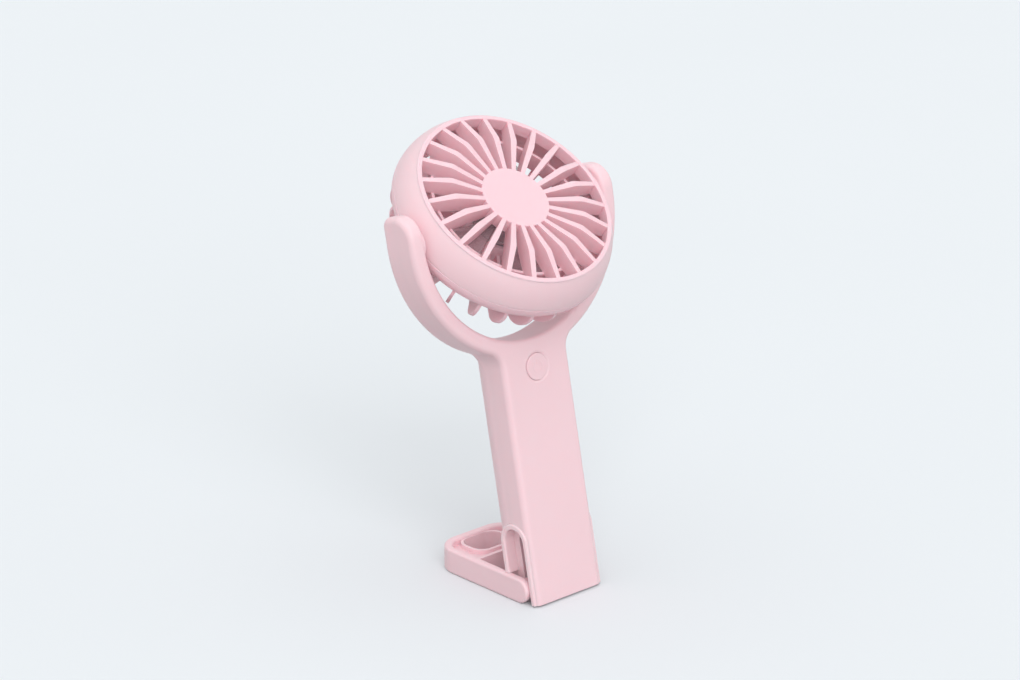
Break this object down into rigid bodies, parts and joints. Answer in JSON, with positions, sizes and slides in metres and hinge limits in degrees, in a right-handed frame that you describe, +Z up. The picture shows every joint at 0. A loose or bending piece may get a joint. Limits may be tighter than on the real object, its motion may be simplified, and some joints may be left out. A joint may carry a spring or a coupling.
{
  "type": "hand-held fan",
  "caption": "Rechargeable hand-held fan: round head with radial fins tilting in a U-shaped yoke, on a flat handle that stands on its fold-out loop.",
  "frame": {"origin": "on the table, under the middle of the fan's overall box as it stands on its loop", "axes": "+Z up, the fan's face and the handle's front towards -Y, +X to the right seen from the front"},
  "size_m": [0.1116, 0.0856, 0.1903],
  "materials": {
    "pink_satin": "satin moulded plastic, pale pink",
    "pink_grille": "satin moulded plastic, pale pink",
    "pink_gloss": "polished plastic, pale pink",
    "pink_inner": "moulded plastic, pale pink",
    "smoke_blades": "smoke-tinted clear plastic",
    "washer_grey": "white acetal",
    "steel": "plated steel",
    "bronze": "sintered bronze",
    "magnet": "ferrite",
    "laminations": "stacked steel laminations",
    "copper": "enamelled copper wire",
    "board_green": "green solder mask",
    "switch_black": "black moulding",
    "cell_wrap": "shrink sleeve over a steel can",
    "foam": "foam rubber",
    "wire_red": "insulated wire"
  },
  "bodies": {
    "handle": {"front_shell": "pink_satin", "rear_shell": "pink_satin", "left_channel": "pink_gloss", "right_channel": "pink_gloss", "base_cap": "pink_inner", "battery": "cell_wrap", "battery_pads": "foam", "control_board": "board_green", "tact_switch": "switch_black", "usb_c_socket": "steel", "battery_leads": "wire_red", "yoke_lead": "wire_red", "shell_screws": "steel", "board_screws": "steel", "left_washer": "washer_grey", "right_washer": "washer_grey"},
    "button": {"power_button": "pink_satin"},
    "head": {"head_shell": "pink_satin", "front_grille": "pink_grille", "rear_grille": "pink_grille", "left_trunnion": "pink_inner", "right_trunnion": "pink_inner", "left_clip": "steel", "right_clip": "steel", "motor_can": "steel", "motor_cap": "steel", "motor_magnets": "magnet", "motor_bearings": "bronze", "motor_lead": "wire_red"},
    "rotor": {"impeller": "smoke_blades", "armature": "laminations", "motor_coils": "copper", "motor_shaft": "steel"},
    "loop": {"stand_loop": "pink_satin", "left_pin": "steel", "right_pin": "steel"}
  },
  "joints": [
    {"name": "head_tilt", "type": "hinge", "parent": "handle", "child": "head", "pos_m": [0, -0.0003, 0.15347], "axis": [1, 0, 0], "range_deg": [-48.95, 131.05]},
    {"name": "fan_spin", "type": "hinge", "parent": "head", "child": "rotor", "pos_m": [0, -0.0003, 0.15347], "axis": [0, -0.6018, 0.7986], "continuous": true},
    {"name": "power_button_press", "type": "slide", "parent": "handle", "child": "button", "axis": [0, 0.9783, -0.2071], "range_m": [0, 0.0006], "stiffness_N_per_m": 1500, "springref_m": -0.0003},
    {"name": "loop_fold", "type": "hinge", "parent": "handle", "child": "loop", "pos_m": [0, -0.03166, 0.0053], "axis": [-1, 0, 0], "range_deg": [0, 101.95]}
  ]
}
